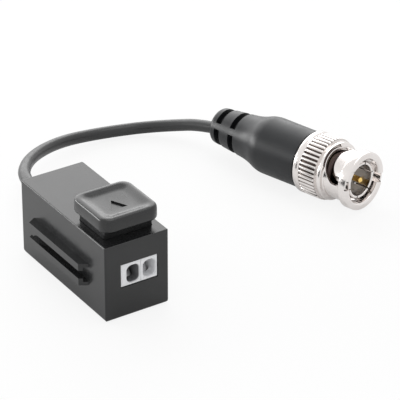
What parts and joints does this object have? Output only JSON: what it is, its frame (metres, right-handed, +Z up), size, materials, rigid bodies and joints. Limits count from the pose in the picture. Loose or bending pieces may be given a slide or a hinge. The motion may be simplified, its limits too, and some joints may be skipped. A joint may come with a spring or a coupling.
{
  "type": "cctv video balun",
  "caption": "Passive video balun: narrow box with a push button over spring wire entries, side rails and a short coaxial pigtail with a bayonet plug.",
  "frame": {"origin": "middle of the housing's underside", "axes": "+Z up, the wire entries face -Y, the cable leaves at +Y, the rail groove is on -X"},
  "size_m": [0.0772, 0.0678, 0.0221],
  "materials": {
    "black_shell": "semi-gloss",
    "black_button": "semi-gloss",
    "white_nylon": "satin",
    "tinned_brass": "satin",
    "spring_steel": "satin",
    "board_green": "satin",
    "ferrite": "matte",
    "enamelled_wire": "gloss",
    "package_black": "matte",
    "capacitor_tan": "matte",
    "cable_black": "satin",
    "boot_black": "satin",
    "insulation_white": "satin",
    "nickel_plate": "polished",
    "gasket_rubber": "matte",
    "gold_plate": "polished"
  },
  "bodies": {
    "balun": {"housing": "black_shell", "base_cover": "black_shell", "return_spring": "spring_steel", "terminal_left": "white_nylon", "terminal_right": "white_nylon", "contact_left": "tinned_brass", "contact_right": "tinned_brass", "clamp_spring_left": "spring_steel", "clamp_spring_right": "spring_steel", "circuit_board": "board_green", "transformer_core": "ferrite", "winding_primary": "enamelled_wire", "winding_secondary": "enamelled_wire", "surge_suppressor": "package_black", "chip_capacitor": "capacitor_tan", "chip_resistor": "package_black", "cable_collar": "spring_steel", "cable_core": "insulation_white", "braid_tail": "tinned_brass", "cable_jacket": "cable_black", "boot": "boot_black", "crimp_ferrule": "nickel_plate", "plug_body": "nickel_plate", "outer_contact": "nickel_plate", "spring_washer": "spring_steel", "retaining_ring": "spring_steel", "gasket": "gasket_rubber", "dielectric": "insulation_white", "centre_pin": "gold_plate"},
    "button": {"button": "black_button"},
    "nut": {"coupling_nut": "nickel_plate"}
  },
  "joints": [
    {"name": "button_press", "type": "slide", "parent": "balun", "child": "button", "axis": [0, 0, -1], "range_m": [0, 0.0011], "stiffness_N_per_m": 1500, "springref_m": -0.001, "deforming": ["return_spring", "clamp_spring_left", "clamp_spring_right"]},
    {"name": "nut_turn", "type": "hinge", "parent": "balun", "child": "nut", "pos_m": [0.06191, -0.00834, 0.00731], "axis": [0.2552, -0.9666, 0.025], "continuous": true}
  ]
}
